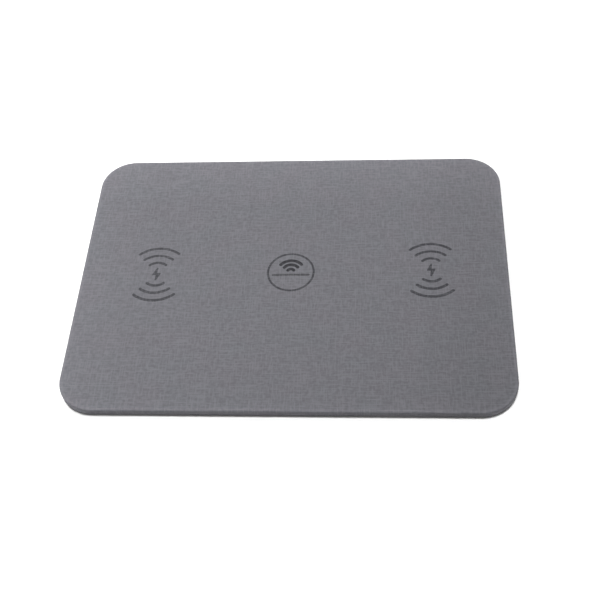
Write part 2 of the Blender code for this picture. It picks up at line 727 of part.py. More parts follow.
def make_thermistor(place):
    """A temperature sensor in the coil's centre: its lead swells into the sensor's bead."""
    points = lead_points(place, place.sensor_lead)
    points += [
        on_route(place, -SENSOR_OFFSET, 6 * MM, 0),
        on_route(place, -SENSOR_OFFSET, 2.6 * MM, SENSOR_BEAD_RISE),
    ]
    route = smooth_route(points, LEAD_STEPS)
    swells = [1.0] * len(route) + SENSOR_BEAD_SWELLS
    for index in range(len(SENSOR_BEAD_SWELLS)):
        y = SENSOR_BEAD_START - index * SENSOR_BEAD_STEP
        route.append(on_route(place, -SENSOR_OFFSET, y, SENSOR_BEAD_RISE))
    wire("thermistor_" + place.name, route, SENSOR_WIRE_RADIUS, "sensor", swells)


clear_scene()
parts = new_collection("wireless_charging_pad")
cutters = new_collection("cutters")
cutters.hide_render = True

shared_cuts = make_cutters()
make_base(shared_cuts)
make_feet()
make_screws()
make_bezel()
make_socket()
make_board(shared_cuts)
for charging_place in PLACES:
    make_ferrite(charging_place)
    make_coil(charging_place)
    make_thermistor(charging_place)
make_top_panel(shared_cuts)
make_cloth(shared_cuts)
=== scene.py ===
"""Looks of the cloth-covered wireless charging pad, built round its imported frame. Metres, +Z up."""

import json
import math

import bmesh
import bpy
from mathutils import Matrix, Vector, noise


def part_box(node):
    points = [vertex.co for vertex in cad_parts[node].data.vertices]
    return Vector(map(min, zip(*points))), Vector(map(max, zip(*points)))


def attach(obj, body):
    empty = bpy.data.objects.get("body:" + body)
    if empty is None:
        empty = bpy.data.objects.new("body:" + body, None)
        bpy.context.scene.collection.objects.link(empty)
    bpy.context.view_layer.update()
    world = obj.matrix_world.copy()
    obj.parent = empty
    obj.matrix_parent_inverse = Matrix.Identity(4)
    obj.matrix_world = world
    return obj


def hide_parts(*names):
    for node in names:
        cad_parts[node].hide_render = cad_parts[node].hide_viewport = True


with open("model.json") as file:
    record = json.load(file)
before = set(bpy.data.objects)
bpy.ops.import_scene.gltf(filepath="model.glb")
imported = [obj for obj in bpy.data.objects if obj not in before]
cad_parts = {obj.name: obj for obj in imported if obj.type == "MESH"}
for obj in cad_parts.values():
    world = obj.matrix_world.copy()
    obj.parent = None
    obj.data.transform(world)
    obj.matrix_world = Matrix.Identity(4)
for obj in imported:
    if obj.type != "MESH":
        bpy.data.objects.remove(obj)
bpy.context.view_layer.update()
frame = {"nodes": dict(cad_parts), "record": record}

MM = 0.001
RECORD = frame["record"]
MOUNTS = {mount["name"]: Vector(mount["pos_m"]) for mount in RECORD["mounts"]}

# The cloth's outer size, from the solid that it stands for
cloth_low, cloth_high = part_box("fabric_cover")
HALF_LENGTH = (cloth_high.x - cloth_low.x) / 2
HALF_DEPTH = (cloth_high.y - cloth_low.y) / 2
TOP = cloth_high.z
CLOTH_DROP = cloth_high.z - cloth_low.z

# Camera: turned and tilted about the middle of the pad's top
CAMERA_TURN = math.radians(7.87)
CAMERA_PITCH = math.radians(53.75)
CAMERA_ROLL = math.radians(-6.45)
CAMERA_LENS = 60.0
PAD_FROM_CAMERA = Vector((-5.8, 17.9, -700.0)) * MM

# Light. The surround is pale below the first height of SKY_BAND and dim above the second
OVERHEAD_POWER = 2.7
OVERHEAD_SPREAD = math.radians(12)
SIDE_PLACE = Vector((-0.37, 0.35, 0.46))
SIDE_SIZE = 0.25
SIDE_POWER = 3.4
SKY_TOP = 0.22
SKY_LOW = 1.0
SKY_BAND = (0.1, 0.35)
FLOOR_SIZE = 60.0
FLOOR_WHITE = 0.95
FLOOR_LEVEL = -0.05 * MM

# The cloth's sheet. Its waves are (length, seed, share), and they die out towards its edge
CORNER_RADIUS = 24.5 * MM
CORNER_STEPS = 26
CLOTH_STEP = 2.0 * MM
CLOTH_THICKNESS = 0.6 * MM
TOP_ROUND = 1.1 * MM
TOP_ROUND_STEPS = 8
SIDE_STEPS = 4
LOW_ROUND = 0.8 * MM
LOW_ROUND_STEPS = 6
HEM_WIDTH = 6 * MM
HEM_STEPS = 3
WAVE_HEIGHT = 0.035 * MM
WAVE_SINK = 0.6
WAVE_MARGIN = 6 * MM
WAVES = [(45 * MM, 1.7, 0.7), (17 * MM, 9.2, 0.3)]
NOTCH_PAST = 2 * MM

# Prints, in millimetres about their own middles. An arc is (apex, half chord, sagitta)
PRINT_TURN = math.radians(0.78)
PRINT_OFF_PLACE = {"left": (0.85, -0.4), "centre": (-0.75, -0.4), "right": (0.15, -0.2)}
INK_PROUD = 0.03 * MM
INK_DEPTH = 0.06 * MM
INK_STEP = 0.5
INK_BLEED = 0.07
BLEED_GRAIN = 1.9
BLEED_SHIFT = Vector((0, 0, 7))
PEN_STEPS = 8
STROKE = 1.97
LOW_STROKE = 2.15
CIRCLE_RADIUS = 16.05
CIRCLE_STROKE = 1.5
SIGNAL_STROKE = 2.4
BAR_STROKE = 1.75
BAR_REACH = 12.5
BAR_DROP = 2.45
FIELD_ARCS = [(23.0, 14.2, 5.0), (16.4, 10.2, 3.5), (10.1, 5.8, 2.1)]
SIGNAL_ARCS = [(10.15, 7.3, 3.5), (6.5, 4.75, 2.3), (2.75, 2.05, 1.2)]
BOLT = [
    (-0.2, 5.4), (0.95, 5.4), (0.15, 1.0), (2.8, 1.05), (2.8, 0.1),
    (0.2, -5.5), (-1.05, -5.5), (-0.5, -0.8), (-2.95, -0.8), (-2.95, 0.1),
]

# Feet
FOOT_FILLET = 0.35 * MM
FOOT_GROOVES = (2.2 * MM, 4.2 * MM, 6.2 * MM)
GROOVE_HALF_WIDTH = 0.45 * MM
GROOVE_DEPTH = 0.22 * MM
GROOVE_STEPS = 8
FOOT_STEPS = 64
FILLET_STEPS = 5

# Screws under the base. A level of the recess is (height over its depth, size at that height)
SCREW_SHANK = 0.8 * MM
SCREW_CONE_TOP = 0.9 * MM
SCREW_LAND = 0.1 * MM
SCREW_RIM = 0.07 * MM
SCREW_RIM_STEPS = 4
SCREW_TIP = 0.4 * MM
SCREW_STEPS = 48
DRIVE_REACH = 1.05 * MM
DRIVE_WIDTH = 0.24 * MM
DRIVE_DEPTH = 0.7 * MM
DRIVE_TAPER = 0.7
DRIVE_CORE = 0.6
DRIVE_LEVELS = [(-0.2, 1.15), (0.45, 0.68), (1.0, 0.4)]
DRIVE_TURN = math.radians(37)

# Rear power socket. A step of the shell's back is (in from its side, past its inner end)
BEZEL_GAP = 0.3 * MM
OUTLINE_STEPS = 10
TRIM_CORNER = 0.6 * MM
TRIM_ROUND_OVER = 0.25 * MM
TRIM_LEAD_IN = 0.4 * MM
SOCKET_ROUNDING = 0.46
SHELL_WALL = 0.3 * MM
SHELL_BACK = [(0.3 * MM, 0.0), (0.08 * MM, 0.1 * MM), (0.0, 0.35 * MM)]
SHELL_FLOOR = 0.5 * MM
LIP_STEPS = 6
CONTACTS = 12
CONTACT_PITCH = 0.5 * MM
CONTACT_WIDTH = 0.28 * MM
CONTACT_LENGTH = 2.6 * MM
CONTACT_PROUD = 0.03 * MM
CONTACT_SET_BACK = 0.5 * MM
CONTACT_BEVEL = 0.012 * MM
HALF_BLADE = 0.35 * MM

# The part of a noise's range that nearly all of it lies in
NOISE_RANGE = (0.3, 0.7)


def new_collection(name):
    made = bpy.data.collections.new(name)
    bpy.context.scene.collection.children.link(made)
    return made


pieces = new_collection("wireless_charging_pad_looks")
studio = new_collection("studio")


class Graph:
    """A material's or a node group's nodes, added one call at a time."""

    def __init__(self, tree):
        self.tree = tree

    def node(self, kind, inputs=None, **settings):
        made = self.tree.nodes.new(kind)
        for name, value in settings.items():
            setattr(made, name, value)
        for name, value in (inputs or {}).items():
            self.feed(made.inputs[name], value)
        return made

    def feed(self, socket, value):
        if isinstance(value, bpy.types.NodeSocket):
            self.tree.links.new(value, socket)
        else:
            socket.default_value = value

    def math(self, operation, *values, clamp=False):
        made = self.node("ShaderNodeMath", operation=operation, use_clamp=clamp)
        for socket, value in zip(made.inputs, values):
            self.feed(socket, value)
        return made.outputs[0]

    def remap(self, value, low, high, new_low, new_high):
        made = self.node("ShaderNodeMapRange", {"Value": value, "From Min": low, "From Max": high})
        self.feed(made.inputs["To Min"], new_low)
        self.feed(made.inputs["To Max"], new_high)
        return made.outputs["Result"]

    def spread(self, value, low, high):
        """A noise, drawn out to run from low to high."""
        return self.remap(value, *NOISE_RANGE, low, high)

    def place(self, x, y, z):
        return self.node("ShaderNodeCombineXYZ", {"X": x, "Y": y, "Z": z}).outputs[0]

    def axes(self, vector):
        return self.node("ShaderNodeSeparateXYZ", {"Vector": vector}).outputs

    def stretch(self, vector, factors):
        return self.node("ShaderNodeVectorMath", {0: vector, 1: factors}, operation="MULTIPLY").outputs[0]

    def noise(self, vector, scale=1.0, detail=0.0, roughness=0.5):
        made = self.node("ShaderNodeTexNoise", {"Vector": vector, "Scale": scale, "Detail": detail})
        made.inputs["Roughness"].default_value = roughness
        return made.outputs["Fac"]

    def cells(self, vector, scale=1.0, feature="F1"):
        made = self.node("ShaderNodeTexVoronoi", {"Vector": vector, "Scale": scale}, feature=feature)
        return made.outputs["Distance"]

    def mix(self, share, low, high):
        made = self.node("ShaderNodeMix", data_type="FLOAT")
        self.feed(made.inputs[0], share)
        self.feed(made.inputs[2], low)
        self.feed(made.inputs[3], high)
        return made.outputs[0]

    def blend(self, share, low, high, how="MIX"):
        made = self.node("ShaderNodeMix", data_type="RGBA", blend_type=how)
        self.feed(made.inputs[0], share)
        self.feed(made.inputs[6], low)
        self.feed(made.inputs[7], high)
        return made.outputs[2]

    def scaled(self, colour, factor):
        """A colour times a number."""
        return self.blend(1.0, colour, self.place(factor, factor, factor), "MULTIPLY")

    def solid_place(self):
        """The place on the pad in millimetres, from the mesh's own coordinates."""
        made = self.node("ShaderNodeTexCoord").outputs["Object"]
        return self.stretch(made, (1 / MM, 1 / MM, 1 / MM))


def rgb(red, green, blue):
    return (red, green, blue, 1.0)


class Finish:
    """A material with its graph and shader. uniform sets the shader's own sockets."""

    def __init__(self, name, **uniform):
        self.material = bpy.data.materials.new(name)
        self.material.use_nodes = True
        self.shader = self.material.node_tree.nodes["Principled BSDF"]
        self.graph = Graph(self.material.node_tree)
        for socket, value in uniform.items():
            self.shader.inputs[socket.replace("_", " ")].default_value = value

    def set(self, socket, value):
        self.graph.feed(self.shader.inputs[socket], value)

    def bump(self, height, distance):
        made = self.graph.node("ShaderNodeBump", {"Height": height, "Distance": distance})
        self.set("Normal", made.outputs["Normal"])


# ---------------------------------------------------------------- cloth and ink

# Yarns, in millimetres. A fleck, slub or own tone is (length, width)
YARN = 0.55
YARN_WANDER = 0.6
WANDER_GRAIN = (0.03, 0.4)
YARN_ROUND = (0.45, 0.9)
CROSSING_EDGE = 2.5
WEFT_FLECK = (3.9, 1.3)
WARP_FLECK = (2.6, 1.7)
WEFT_SLUB = (16.0, 0.85)
WARP_SLUB = (10.0, 0.8)
SLUB_EDGE = (0.55, 0.7)
SLUB_LIGHT = 0.17
SLUB_DARK = -0.025
OWN_TONE = (3.0, 0.6)
OWN_SHARE = 0.16

# Places in the noise. A way's flecks are at its own seed, and its slubs and own tones further on
WEFT_SEED = 3.0
WARP_SEED = 43.0
SLUB_SEED = 10.0
OWN_SEED = 20.0
WARP_WANDER_SEED = 1.0
WEFT_WANDER_SEED = 7.0

# Weave: where the weft's or the warp's tone rules, how the crossings show, the painted shade of the relief,
# and the relief's height
PATCH = 2.2
PATCH_SEED = 80.0
PATCH_EDGE = (0.42, 0.56)
PATCH_SHARE = (0.08, 0.75)
CROSSING_SHARE = 0.25
RELIEF_SHADE = 0.32
RELIEF_SHADE_LEVEL = -0.15
RELIEF_HEIGHT = 0.7
MOTTLE = 22.0
MOTTLE_SEED = 5.0
MOTTLE_EDGE = (0.35, 0.65)

# Cloth's colour
CLOTH_GREY = (0.1232, 0.122, 0.1336)
CLOTH_CONTRAST = 0.147
CLOTH_ROUGH = (0.95, 0.8)
CLOTH_RELIEF = 0.12 * MM
COOL_TINT = rgb(0.985, 1.0, 1.0)
WARM_TINT = rgb(1.005, 0.993, 1.0)

# Painted light and shade on the cloth: how much, and the band in millimetres that it comes on over
# Painted highlight along the top's rim, where the cloth turns down
PAINTED_RIM_HIGHLIGHT = 0.14
RIM_LINE = 1.2
RIM_BAND = (0.4, 1.5)
# Painted glow that lightens the top towards its edge
PAINTED_RIM_GLOW = 0.035
PAINTED_RIM_GLOW_BAND = (14.0, 1.0)
# Painted shade down the cloth's sides, and painted light on the sides round the corners
PAINTED_SIDE_SHADE = 0.11
PAINTED_CORNER_LIGHT = 0.36
CORNER_BAND = 10.0
# Painted light along the far and left edges, painted shade at the right, and painted light and shade from
# corner to corner
PAINTED_FAR_LIGHT = 0.11
FAR_BAND = (45.0, 8.0)
PAINTED_LEFT_LIGHT = 0.06
LEFT_BAND = (45.0, 3.0)
PAINTED_RIGHT_SHADE = 0.055
RIGHT_BAND = (70.0, 30.0)
PAINTED_DIAGONAL_LIGHT = 0.085

# Inks: the colour in the weave's hollows, and on its highest yarns
THIN_INK = (0.028, 0.028, 0.033), (0.052, 0.052, 0.059)
DENSE_INK = (0.012, 0.012, 0.015), (0.026, 0.026, 0.031)
FADED_INK = (0.038, 0.038, 0.042), (0.076, 0.076, 0.083)
INK_WORN_BAND = (0.45, 0.95)
INK_ROUGH = (0.78, 0.6)
INK_RELIEF = 0.06 * MM


def yarn_place(g, along, across, seed):
    """Which yarn a place is on, counted across the cloth, where each yarn strays in its own way."""
    along_grain, across_grain = WANDER_GRAIN
    place = g.place(g.math("MULTIPLY", along, along_grain), g.math("MULTIPLY", across, across_grain), seed)
    wander = g.math("MULTIPLY", g.noise(place), YARN_WANDER)
    return g.math("DIVIDE", g.math("ADD", across, wander), YARN)


def streaks(g, along, number, size, seed, detail=0.0):
    """Long spots of the size given, that keep to whole yarns."""
    length, width = size
    place = g.place(g.math("DIVIDE", along, length), g.math("MULTIPLY", number, YARN / width), seed)
    return g.noise(place, detail=detail)


def yarn_tone(g, along, number, fleck, seed):
    """The lightness of the yarns that run one way: flecks, and each yarn's own tone."""
    flecks = streaks(g, along, number, fleck, seed, detail=0.5)
    own = streaks(g, along, number, OWN_TONE, seed + OWN_SEED)
    return g.mix(OWN_SHARE, flecks, own)


def slub_light(g, along, number, size, seed):
    """How much the long thick places of the yarns that run one way lighten the cloth."""
    slubs = streaks(g, along, number, size, seed + SLUB_SEED)
    return g.remap(slubs, *SLUB_EDGE, SLUB_DARK, SLUB_LIGHT)


def yarn_back(g, across_itself, along_itself):
    """A yarn's round back, arched where it passes over the other yarns."""
    roundness, arch = YARN_ROUND
    return g.math("MULTIPLY", g.math("POWER", across_itself, roundness), g.math("POWER", along_itself, arch))


def cloud(g, u, v, size, seed, detail=0.0):
    """Slow noise over the sheet, with spots of the size given."""
    return g.noise(g.place(g.math("DIVIDE", u, size), g.math("DIVIDE", v, size), seed), detail=detail)


def linen_group():
    """Node group: a plain weave of slubby yarns, from a place on the flat sheet in millimetres.

    Tone is how light the yarn on top is, about 0 to 1, with painted shade in the hollows between yarns.
    Height is the relief, and Mottle a slow drift.
    """
    group = bpy.data.node_groups.new("linen_weave", "ShaderNodeTree")
    group.interface.new_socket("Sheet", in_out="INPUT", socket_type="NodeSocketVector")
    for name in ("Tone", "Height", "Mottle"):
        group.interface.new_socket(name, in_out="OUTPUT", socket_type="NodeSocketFloat")
    g = Graph(group)
    u, v, _ = g.axes(g.node("NodeGroupInput").outputs["Sheet"])

    warp_place = yarn_place(g, v, u, WARP_WANDER_SEED)
    weft_place = yarn_place(g, u, v, WEFT_WANDER_SEED)
    wave_u = g.math("SINE", g.math("MULTIPLY", warp_place, math.pi))
    wave_v = g.math("SINE", g.math("MULTIPLY", weft_place, math.pi))
    weft_on_top = g.math("MULTIPLY_ADD", g.math("MULTIPLY", wave_u, wave_v), CROSSING_EDGE, 0.5, clamp=True)

    weft_number = g.math("FLOOR", weft_place)
    warp_number = g.math("FLOOR", warp_place)
    weft = yarn_tone(g, u, weft_number, WEFT_FLECK, WEFT_SEED)
    warp = yarn_tone(g, v, warp_number, WARP_FLECK, WARP_SEED)
    patch = g.remap(cloud(g, u, v, PATCH, PATCH_SEED), *PATCH_EDGE, *PATCH_SHARE)
    woven = g.mix(CROSSING_SHARE, g.mix(patch, weft, warp), g.mix(weft_on_top, warp, weft))
    weft_slubs = slub_light(g, u, weft_number, WEFT_SLUB, WEFT_SEED)
    warp_slubs = slub_light(g, v, warp_number, WARP_SLUB, WARP_SEED)
    yarns = g.math("ADD", woven, g.math("ADD", weft_slubs, warp_slubs))

    bulge_u = g.math("ABSOLUTE", wave_u)
    bulge_v = g.math("ABSOLUTE", wave_v)
    relief = g.mix(weft_on_top, yarn_back(g, bulge_u, bulge_v), yarn_back(g, bulge_v, bulge_u))
    # Painted shade: darker in the hollows between the yarns, lighter on their backs
    painted_relief_shade = g.math("MULTIPLY_ADD", relief, RELIEF_SHADE, RELIEF_SHADE_LEVEL)
    mottle = cloud(g, u, v, MOTTLE, MOTTLE_SEED, detail=1.5)

    out = g.node("NodeGroupOutput")
    g.feed(out.inputs["Tone"], g.math("ADD", g.spread(yarns, 0.0, 1.0), painted_relief_shade))
    g.feed(out.inputs["Height"], g.math("MULTIPLY_ADD", relief, RELIEF_HEIGHT, yarns))
    g.feed(out.inputs["Mottle"], g.remap(mottle, *MOTTLE_EDGE, 0.0, 1.0))
    return group


linen = linen_group()


def sheet_place(graph):
    """The place on the flat sheet in millimetres, from a piece's "sheet" UV map in metres."""
    uv = graph.node("ShaderNodeUVMap", uv_map="sheet").outputs["UV"]
    return graph.stretch(uv, (1 / MM, 1 / MM, 0.0))


def weave_of(finish):
    made = finish.graph.node("ShaderNodeGroup", node_tree=linen)
    finish.graph.feed(made.inputs["Sheet"], sheet_place(finish.graph))
    return made.outputs


def edge_light(g, x, y):
    """Painted light and shade by the cloth's edge: a painted highlight along the top's rim, a painted glow
    that lightens the top towards its rim, painted shade down its sides, and painted light on the sides round
    the corners."""
    radius = CORNER_RADIUS / MM
    past = []
    for axis, half in ((x, HALF_LENGTH), (y, HALF_DEPTH)):
        straight = half / MM - radius
        past.append(g.math("MAXIMUM", g.math("SUBTRACT", g.math("ABSOLUTE", axis), straight), 0.0))
    squares = [g.math("POWER", value, 2.0) for value in past]
    beyond = g.math("SUBTRACT", g.math("SQRT", g.math("ADD", *squares)), radius)
    from_line = g.math("ABSOLUTE", g.math("ADD", beyond, RIM_LINE))
    # Painted highlight along the top's rim
    worn = g.remap(from_line, *RIM_BAND, PAINTED_RIM_HIGHLIGHT, 0.0)
    # Painted glow that lightens the top towards its edge
    fade_start, fade_end = PAINTED_RIM_GLOW_BAND
    faded = g.remap(beyond, -fade_start, -fade_end, 0.0, PAINTED_RIM_GLOW)
    # Painted light on the sides round the corners, over the painted shade down the sides
    corner = g.remap(g.math("MINIMUM", *past), 0.0, CORNER_BAND, 0.0, PAINTED_CORNER_LIGHT)
    side = g.remap(beyond, 0.0, 1.0, 1.0, g.math("ADD", corner, 1.0 - PAINTED_SIDE_SHADE))
    return g.math("ADD", g.math("ADD", side, worn), faded)


def slow_changes(g, x, y):
    """Painted light and shade over the cloth's top: painted light along its far and left edges, painted shade
    at its right, and painted light and shade that tilt from corner to corner."""
    half_length, half_depth = HALF_LENGTH / MM, HALF_DEPTH / MM
    # Painted light along the far and left edges, and painted shade at the right
    inwards = (
        (g.math("SUBTRACT", half_depth, y), FAR_BAND, PAINTED_FAR_LIGHT),
        (g.math("ADD", x, half_length), LEFT_BAND, PAINTED_LEFT_LIGHT),
        (g.math("SUBTRACT", half_length, x), RIGHT_BAND, -PAINTED_RIGHT_SHADE),
    )
    # Painted light and shade that tilt from corner to corner
    total = g.math("MULTIPLY", g.math("MULTIPLY", x, y), PAINTED_DIAGONAL_LIGHT / (half_length * half_depth))
    for from_edge, (start, end), amount in inwards:
        total = g.math("ADD", total, g.remap(from_edge, end, start, amount, 0.0))
    return total


def cloth_finish():
    cloth = Finish("cloth", Specular_IOR_Level=0.1, Sheen_Weight=0.08, Sheen_Roughness=0.45)
    g = cloth.graph
    weave = weave_of(cloth)
    tint = g.blend(weave["Mottle"], COOL_TINT, WARM_TINT)
    grey = g.blend(1.0, rgb(*CLOTH_GREY), tint, "MULTIPLY")
    light = g.remap(weave["Tone"], 0.0, 1.0, 1.0 - CLOTH_CONTRAST, 1.0 + CLOTH_CONTRAST)
    x, y, _ = g.axes(sheet_place(g))
    # Painted light and shade by the edges and over the top
    painted_lighting = g.math("ADD", edge_light(g, x, y), slow_changes(g, x, y))
    cloth.set("Base Color", g.scaled(grey, g.math("MULTIPLY", light, painted_lighting)))
    cloth.set("Roughness", g.remap(weave["Tone"], 0.0, 1.0, *CLOTH_ROUGH))
    cloth.bump(weave["Height"], CLOTH_RELIEF)
    return cloth.material


def ink_finish(name, hollows, heights):
    """Ink soaked into the cloth: the weave shows through it, and its highest yarns hold less."""
    ink = Finish(name, Specular_IOR_Level=0.3)
    weave = weave_of(ink)
    worn = ink.graph.remap(weave["Tone"], *INK_WORN_BAND, 0.0, 1.0)
    ink.set("Base Color", ink.graph.blend(worn, rgb(*hollows), rgb(*heights)))
    ink.set("Roughness", ink.graph.remap(weave["Tone"], 0.0, 1.0, *INK_ROUGH))
    ink.bump(weave["Height"], INK_RELIEF)
    return ink.material


# ---------------------------------------------------------------- moulded, metal and board finishes

# Colours. A pair is the two shades that a pattern runs between
DUST = rgb(0.28, 0.27, 0.26)
SCUFF = rgb(0.3, 0.29, 0.28)
RUBBER = rgb(0.022, 0.022, 0.022), rgb(0.045, 0.044, 0.043)
SOLDER_MASK = rgb(0.008, 0.07, 0.034), rgb(0.016, 0.135, 0.055)
VIA_GOLD = rgb(0.7, 0.5, 0.2)
COMPOUND = rgb(0.012, 0.012, 0.013), rgb(0.03, 0.03, 0.032)
PLATED_PAD = rgb(0.62, 0.61, 0.58)
TINNED_END = rgb(0.66, 0.66, 0.64)
STRAND_COPPER = rgb(0.42, 0.15, 0.055), rgb(0.72, 0.33, 0.14)
SINTERED = rgb(0.035, 0.032, 0.032), rgb(0.07, 0.064, 0.062)
CRACK = rgb(0.012, 0.011, 0.011)
ENAMEL = rgb(0.012, 0.035, 0.11), rgb(0.035, 0.075, 0.19)

# Stretched patterns: how fast each runs along x, y and z
FLOW_GRAIN = (0.02, 0.11, 0.11)
SCUFF_GRAIN = (0.7, 1.6, 1.0)
GROUND_GRAIN = (0.22, 0.22, 0.0)

# Stripes, in radians to a millimetre: tracks and pads along x + y, strands along x + y and z
TRACK_WAVE = 4.2
PAD_WAVE = 12.6
STRAND_WAVE = (7.0, 9.0)

# The board's vias: their grid's pitch in millimetres, and the shares of it that their rim lies between
VIA_PITCH = 3.4
VIA_RIM = (0.1, 0.12)

# The height in millimetres under which a chip's pads show
PAD_TOP = 3.5


def moulded(name, colour, grain, depth, rough, dust=0.0):
    """Moulded plastic: a fine spark texture, faint flow marks and a little dust in its hollows."""
    plastic = Finish(name, Specular_IOR_Level=0.45)
    g = plastic.graph
    place = g.solid_place()
    texture = g.noise(place, scale=1 / grain, detail=3.0, roughness=0.6)
    flow = g.noise(g.stretch(place, FLOW_GRAIN), detail=2.0)
    light = g.math("ADD", g.spread(flow, 0.9, 1.1), g.spread(texture, -0.08, 0.08))
    dusty = g.remap(g.noise(place, scale=0.35, detail=4.0), 0.5, 0.75, 0.0, dust)
    base = g.scaled(rgb(*colour), light)
    plastic.set("Base Color", g.blend(dusty, base, DUST))
    plastic.set("Roughness", g.spread(texture, rough - 0.08, rough + 0.1))
    plastic.bump(texture, depth)
    return plastic.material


def base_plastic():
    grey = (0.056, 0.056, 0.059)
    return moulded("base_plastic", grey, grain=0.45, depth=0.03 * MM, rough=0.6, dust=0.05)


def panel_plastic():
    return moulded("panel_plastic", (0.08, 0.08, 0.085), grain=0.9, depth=0.015 * MM, rough=0.45)


def bezel_plastic():
    black = (0.02, 0.02, 0.022)
    return moulded("bezel_plastic", black, grain=0.25, depth=0.01 * MM, rough=0.38, dust=0.02)


def tongue_plastic():
    return moulded("tongue_plastic", (0.024, 0.024, 0.025), grain=0.15, depth=0.006 * MM, rough=0.5)


def foot_rubber():
    """Matte rubber with fine pores and pale scuffs on the face that it stands on."""
    rubber = Finish("foot_rubber", Specular_IOR_Level=0.3)
    g = rubber.graph
    place = g.solid_place()
    pores = g.cells(place, scale=2.6)
    cloudy = g.noise(place, scale=0.5, detail=3.0)
    _, _, height = g.axes(place)
    under = g.remap(height, 0.0, 0.12, 1.0, 0.0)
    scuffs = g.remap(g.noise(g.stretch(place, SCUFF_GRAIN), detail=3.0), 0.5, 0.8, 0.0, 0.14)
    base = g.blend(cloudy, *RUBBER)
    rubber.set("Base Color", g.blend(g.math("MULTIPLY", under, scuffs), base, SCUFF))
    rubber.set("Roughness", g.remap(pores, 0.0, 0.5, 0.95, 0.8))
    rubber.bump(pores, distance=0.04 * MM)
    return rubber.material


def brushed(name, colour, grain, rough, stained=0.15):
    """Drawn metal: fine lines along one way, and faint stains. grain stretches the lines."""
    metal = Finish(name, Metallic=1.0)
    g = metal.graph
    place = g.solid_place()
    lines = g.noise(g.stretch(place, grain), detail=2.0, roughness=0.6)
    stains = g.noise(place, scale=0.6, detail=3.0)
    dull = g.remap(stains, 0.5, 0.8, 0.0, stained)
    light = g.math("SUBTRACT", g.spread(lines, 0.9, 1.08), dull)
    metal.set("Base Color", g.scaled(rgb(*colour), light))
    metal.set("Roughness", g.spread(lines, rough - 0.06, rough + 0.1))
    metal.bump(lines, distance=0.004 * MM)
    return metal.material


def screw_steel():
    return brushed("screw_steel", (0.3, 0.3, 0.31), grain=(6.0, 6.0, 1.2), rough=0.34, stained=0.35)


def socket_steel():
    return brushed("socket_steel", (0.62, 0.62, 0.6), grain=(7.0, 0.35, 7.0), rough=0.26)


def contact_gold():
    return brushed("contact_gold", (0.83, 0.61, 0.25), grain=(9.0, 0.6, 9.0), rough=0.22, stained=0.1)


def crystal():
    return brushed("crystal", (0.6, 0.6, 0.58), grain=(0.8, 9.0, 9.0), rough=0.3)


def circuit_board():
    """Green solder mask over copper tracks and ground fill, with gold vias on a grid."""
    board = Finish("circuit_board", Coat_Weight=0.4, Coat_Roughness=0.2)
    g = board.graph
    place = g.solid_place()
    x, y, _ = g.axes(place)
    gaps = g.cells(g.stretch(place, GROUND_GRAIN), feature="DISTANCE_TO_EDGE")
    ground = g.remap(gaps, 0.05, 0.075, 0.0, 1.0)
    lanes = g.remap(g.math("SINE", g.math("MULTIPLY", g.math("ADD", x, y), TRACK_WAVE)), -0.2, 0.2, 0.0, 1.0)
    in_bundle = g.remap(g.noise(place, scale=0.08), 0.55, 0.6, 0.0, 1.0)
    copper = g.math("MAXIMUM", ground, g.math("MULTIPLY", in_bundle, lanes))
    in_cell = [g.math("SUBTRACT", g.math("FRACT", g.math("DIVIDE", axis, VIA_PITCH)), 0.5) for axis in (x, y)]
    squares = [g.math("POWER", value, 2.0) for value in in_cell]
    spot = g.remap(g.math("SQRT", g.math("ADD", *squares)), *VIA_RIM, 1.0, 0.0)
    via = g.math("MULTIPLY", spot, g.remap(g.noise(place, scale=0.17), 0.48, 0.5, 0.0, 1.0))
    mask = g.blend(copper, *SOLDER_MASK)
    board.set("Base Color", g.blend(via, mask, VIA_GOLD))
    board.set("Metallic", g.math("MULTIPLY", via, 0.9))
    board.set("Roughness", g.mix(copper, 0.42, 0.3))
    board.bump(g.math("ADD", copper, via), distance=0.02 * MM)
    return board.material


def chip():
    """Black moulding compound, with its plated pads showing in a row round its foot."""
    body = Finish("chip", Specular_IOR_Level=0.4)
    g = body.graph
    place = g.solid_place()
    x, y, z = g.axes(place)
    grit = g.noise(place, scale=9.0, detail=2.0)
    row = g.math("GREATER_THAN", g.math("SINE", g.math("MULTIPLY", g.math("ADD", x, y), PAD_WAVE)), 0.2)
    foot = g.math("LESS_THAN", z, PAD_TOP)
    pad = g.math("MULTIPLY", row, foot)
    body.set("Base Color", g.blend(pad, g.blend(grit, *COMPOUND), PLATED_PAD))
    body.set("Metallic", pad)
    body.set("Roughness", g.mix(pad, g.spread(grit, 0.5, 0.7), 0.3))
    body.bump(grit, distance=0.01 * MM)
    return body.material


def ended(name, body_colour, end_share, grit_scale):
    """A two-ended part of a board: its body, and tinned ends along X."""
    part = Finish(name, Specular_IOR_Level=0.45)
    g = part.graph
    along, _, _ = g.axes(g.node("ShaderNodeTexCoord").outputs["Generated"])
    place = g.solid_place()
    edge = g.math("ABSOLUTE", g.math("SUBTRACT", along, 0.5))
    ragged = g.math("MULTIPLY_ADD", g.noise(place, scale=3.0), 0.03, edge)
    end = g.remap(ragged, 0.5 - end_share, 0.52 - end_share, 0.0, 1.0)
    grit = g.noise(place, scale=grit_scale, detail=3.0)
    body = g.scaled(rgb(*body_colour), g.spread(grit, 0.8, 1.2))
    part.set("Base Color", g.blend(end, body, TINNED_END))
    part.set("Metallic", end)
    part.set("Roughness", g.mix(end, g.spread(grit, 0.4, 0.65), 0.32))
    part.bump(g.math("MULTIPLY_ADD", end, 0.6, grit), distance=0.015 * MM)
    return part.material


def capacitor():
    return ended("capacitor", (0.42, 0.3, 0.19), end_share=0.16, grit_scale=5.0)


def inductor():
    return ended("inductor", (0.09, 0.09, 0.095), end_share=0.07, grit_scale=3.5)


